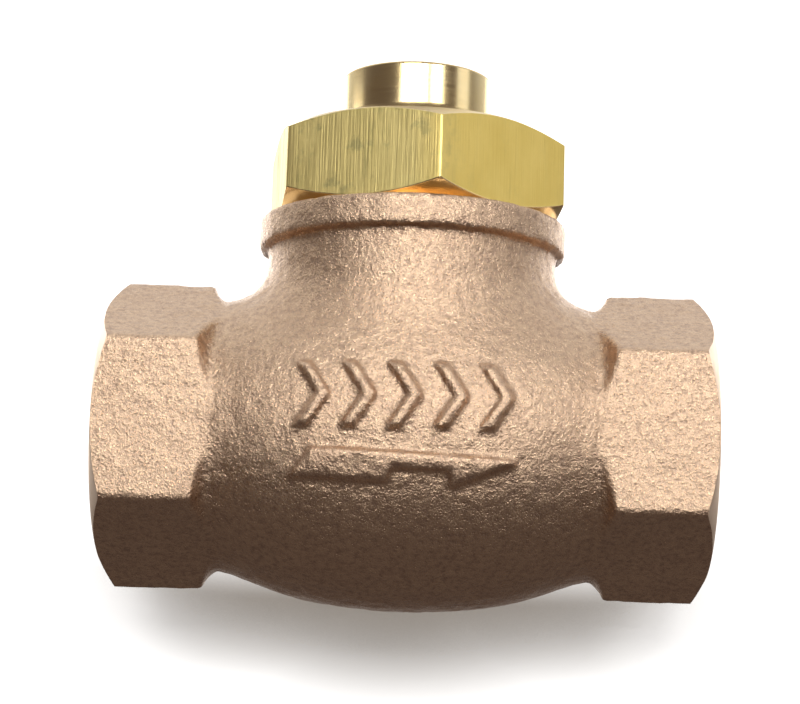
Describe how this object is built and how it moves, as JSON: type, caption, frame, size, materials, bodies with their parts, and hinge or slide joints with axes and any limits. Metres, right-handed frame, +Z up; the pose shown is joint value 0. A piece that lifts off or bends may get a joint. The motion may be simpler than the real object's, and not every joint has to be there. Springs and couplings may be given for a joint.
{
  "type": "lift check valve",
  "caption": "Horizontal lift check valve with screwed female ends: cast bronze barrel body, brass hexagon cap with a guide boss, and a soft-faced disc that lifts with the flow.",
  "frame": {"origin": "where the pipe's axis crosses the cap's axis", "axes": "+X along the pipe in the direction of flow, +Y away from the side with the cast flow arrow, +Z up along the cap"},
  "size_m": [0.0644, 0.0375, 0.0587],
  "materials": {
    "cast_bronze": "shot-blasted sand casting",
    "turned_brass": "drawn hexagon bar, boss turned bright",
    "trim_brass": "turned",
    "stainless": "bright",
    "seal_white": "moulded",
    "gasket_sheet": "pressed sheet"
  },
  "bodies": {
    "valve_body": {"body": "cast_bronze"},
    "cap_gasket": {"cap_gasket": "gasket_sheet"},
    "cap": {"cap": "turned_brass"},
    "disc": {"disc_holder": "trim_brass", "seat_disc": "seal_white", "disc_washer": "trim_brass", "lock_washer": "stainless", "disc_nut": "trim_brass"}
  },
  "joints": [
    {"name": "disc_lift", "type": "slide", "parent": "valve_body", "child": "disc", "axis": [0, 0, 1], "range_m": [0, 0.005]},
    {"name": "cap_lift", "type": "slide", "parent": "valve_body", "child": "cap_gasket", "axis": [0, 0, 1], "range_m": [0, 0.0075]},
    {"name": "cap_turn", "type": "hinge", "parent": "cap_gasket", "child": "cap", "pos_m": [0, 0, 0.0286], "axis": [0, 0, 1], "range_deg": [0, 1800]}
  ],
  "couplings": [
    {"joint": "cap_turn", "follows": "cap_lift", "rad_per_m": 4188.8}
  ]
}
